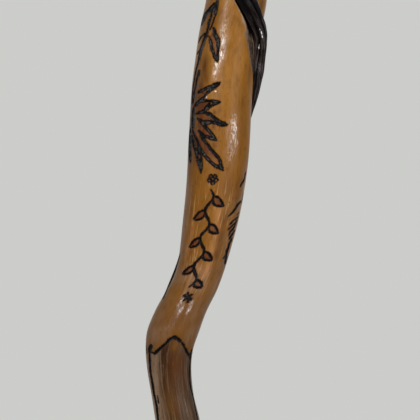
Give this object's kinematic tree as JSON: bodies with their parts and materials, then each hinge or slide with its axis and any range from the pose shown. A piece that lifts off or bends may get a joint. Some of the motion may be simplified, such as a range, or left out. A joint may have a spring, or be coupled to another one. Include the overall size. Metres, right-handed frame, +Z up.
{
  "type": "carved walking stick",
  "caption": "Crooked hardwood walking stick with burnt leaf carving, a dark vine let in round the shaft, a turned knob on a metal collar, and a push-on rubber foot.",
  "frame": {"origin": "middle of the rubber tip's flat sole", "axes": "+Z up the stick from the foot to the knob, -Y the carved front, -X the side that the knee of the crook points to"},
  "size_m": [0.0799, 0.0478, 0.9311],
  "materials": {
    "varnished_wood": "amber hardwood with burnt and carved lines under glossy varnish, stained dark below the knee",
    "dark_vine": "near black ridged bark under glossy varnish",
    "peg_wood": "bare hardwood dowel",
    "knob_wood": "turned hardwood, varnished",
    "brass": "satin, lightly tarnished",
    "steel": "plain, satin",
    "rubber": "matt moulded black"
  },
  "bodies": {
    "stick": {"shaft": "varnished_wood", "vine": "dark_vine", "vine_peg_upper": "peg_wood", "vine_peg_middle": "peg_wood", "vine_peg_lower": "peg_wood", "handle_knob": "knob_wood", "handle_stud": "steel", "handle_collar": "brass", "ferrule": "brass", "ferrule_pin": "brass"},
    "rubber_foot": {"rubber_tip": "rubber", "tip_washer": "steel"}
  },
  "joints": [
    {"name": "tip_pull_off", "type": "slide", "parent": "stick", "child": "rubber_foot", "axis": [0, 0, -1], "range_m": [0, 0.04]}
  ]
}
